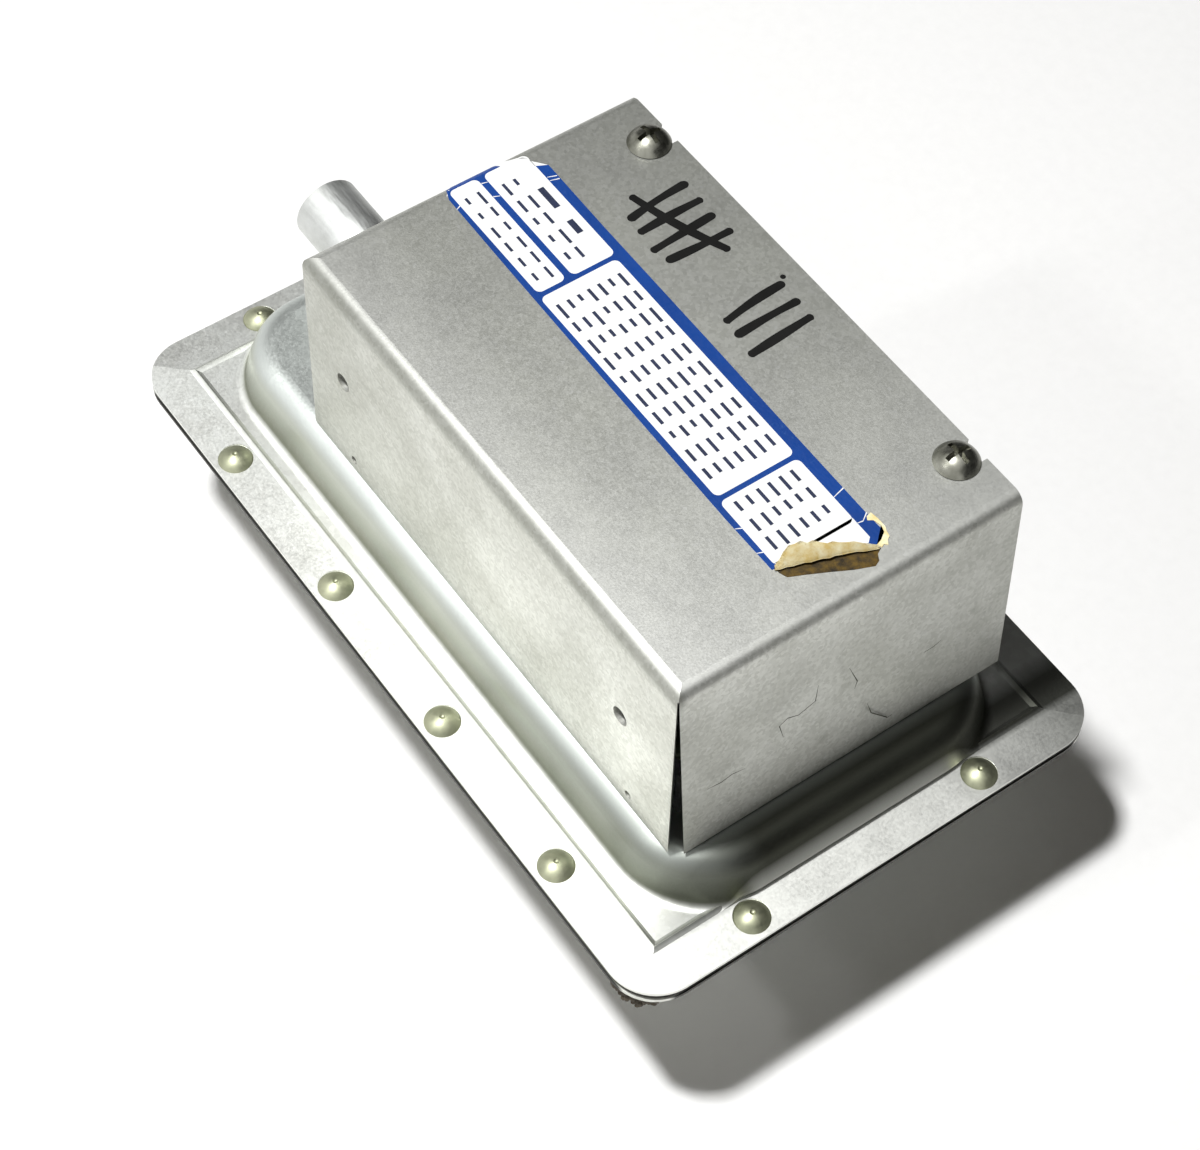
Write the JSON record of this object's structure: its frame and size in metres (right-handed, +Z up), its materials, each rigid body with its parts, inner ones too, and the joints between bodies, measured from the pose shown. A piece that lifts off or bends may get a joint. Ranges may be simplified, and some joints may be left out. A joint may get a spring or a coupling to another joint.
{
  "type": "air pressure switch",
  "caption": "Air pressure switch: a riveted rectangular diaphragm housing with sample tubes works a lever and snap switch under a folded sheet-metal cover.",
  "frame": {"origin": "middle of the two mounting holes, on the mounting face under the bracket's feet", "axes": "+Z up from the mounting face through the housing to the cover's top; +X along the housing, away from the sample tubes; +Y towards the cover's open back and its screws"},
  "size_m": [0.161, 0.0976, 0.0934],
  "materials": {
    "housing_zinc": "bright zinc-plated steel pressing, semi-gloss",
    "cover_zinc": "fine-grained zinc-coated sheet, satin",
    "bracket_zinc": "zinc-plated sheet, satin",
    "rivet_passivated": "olive-yellow passivated steel, semi-gloss",
    "screw_steel": "plated steel, semi-gloss",
    "tube_aluminium": "smooth bright aluminium",
    "plate_aluminium": "mill finish",
    "seal_rubber": "black, matt",
    "silicone": "red-brown silicone, matt",
    "gasket_fibre": "dark gasket sheet",
    "spring_steel": "bright spring wire",
    "bushing_brass": "turned brass",
    "contact_brass": "plated brass strip",
    "case_phenolic": "black moulding",
    "plunger_red": "red moulding",
    "insulator_fibre": "brown fibre sheet",
    "ground_green": "green screw"
  },
  "bodies": {
    "housing": {"front_housing": "housing_zinc", "rear_housing": "housing_zinc", "gasket": "gasket_fibre", "diaphragm": "silicone", "stem_bushing": "bushing_brass", "housing_rivets": "rivet_passivated", "mounting_bracket": "bracket_zinc", "mounting_nuts": "screw_steel", "bracket_rivets": "rivet_passivated", "front_tube": "tube_aluminium", "front_tube_seal": "seal_rubber", "rear_tube": "tube_aluminium", "rear_tube_seal": "seal_rubber", "cover_screws": "screw_steel", "cover_carrier": "bracket_zinc", "carrier_rivets": "rivet_passivated", "ground_screw": "ground_green", "mechanism_frame": "bracket_zinc", "frame_rivets": "rivet_passivated", "adjuster_bridge": "bracket_zinc", "pivot_pin": "screw_steel", "pivot_washers": "bushing_brass", "pivot_clips": "spring_steel", "calibration_spring": "spring_steel", "switch_case": "case_phenolic", "switch_cover": "case_phenolic", "switch_terminals": "contact_brass", "terminal_washers": "contact_brass", "terminal_screws": "screw_steel", "switch_screws": "screw_steel", "switch_insulator": "insulator_fibre"},
    "cover": {"cover": "cover_zinc"},
    "diaphragm_stem": {"front_plate": "plate_aluminium", "rear_plate": "plate_aluminium", "stem": "screw_steel", "stem_clip": "spring_steel"},
    "lever": {"lever": "bracket_zinc", "spring_cup": "bushing_brass"},
    "plunger": {"switch_plunger": "plunger_red", "snap_blade": "contact_brass"},
    "set_point_screw": {"set_point_screw": "bushing_brass", "adjuster_clip": "spring_steel"},
    "spring_nut": {"spring_nut": "bushing_brass"}
  },
  "joints": [
    {"name": "cover_slide", "type": "slide", "parent": "housing", "child": "cover", "axis": [0, -1, 0], "range_m": [0, 0.065]},
    {"name": "diaphragm_travel", "type": "slide", "parent": "housing", "child": "diaphragm_stem", "axis": [0, 0, 1], "range_m": [0, 0.0008], "stiffness_N_per_m": 300, "springref_m": -0.004, "deforming": ["diaphragm"]},
    {"name": "lever_tilt", "type": "hinge", "parent": "housing", "child": "lever", "pos_m": [-0.034, 0, 0.0576], "axis": [0, -1, 0], "range_deg": [0, 1.84], "deforming": ["calibration_spring"]},
    {"name": "plunger_travel", "type": "slide", "parent": "housing", "child": "plunger", "axis": [0, 0, 1], "range_m": [0, 0.00148]},
    {"name": "set_point_turn", "type": "hinge", "parent": "housing", "child": "set_point_screw", "pos_m": [-0.009, 0, 0.0814], "axis": [0, 0, 1], "range_deg": [0, 2161]},
    {"name": "spring_nut_slide", "type": "slide", "parent": "housing", "child": "spring_nut", "axis": [0, 0, -1], "range_m": [0, 0.006], "deforming": ["calibration_spring"]}
  ],
  "couplings": [
    {"joint": "lever_tilt", "follows": "diaphragm_travel", "rad_per_m": 40},
    {"joint": "plunger_travel", "follows": "diaphragm_travel", "ratio": 1.84},
    {"joint": "set_point_turn", "follows": "spring_nut_slide", "rad_per_m": 6283.2}
  ]
}
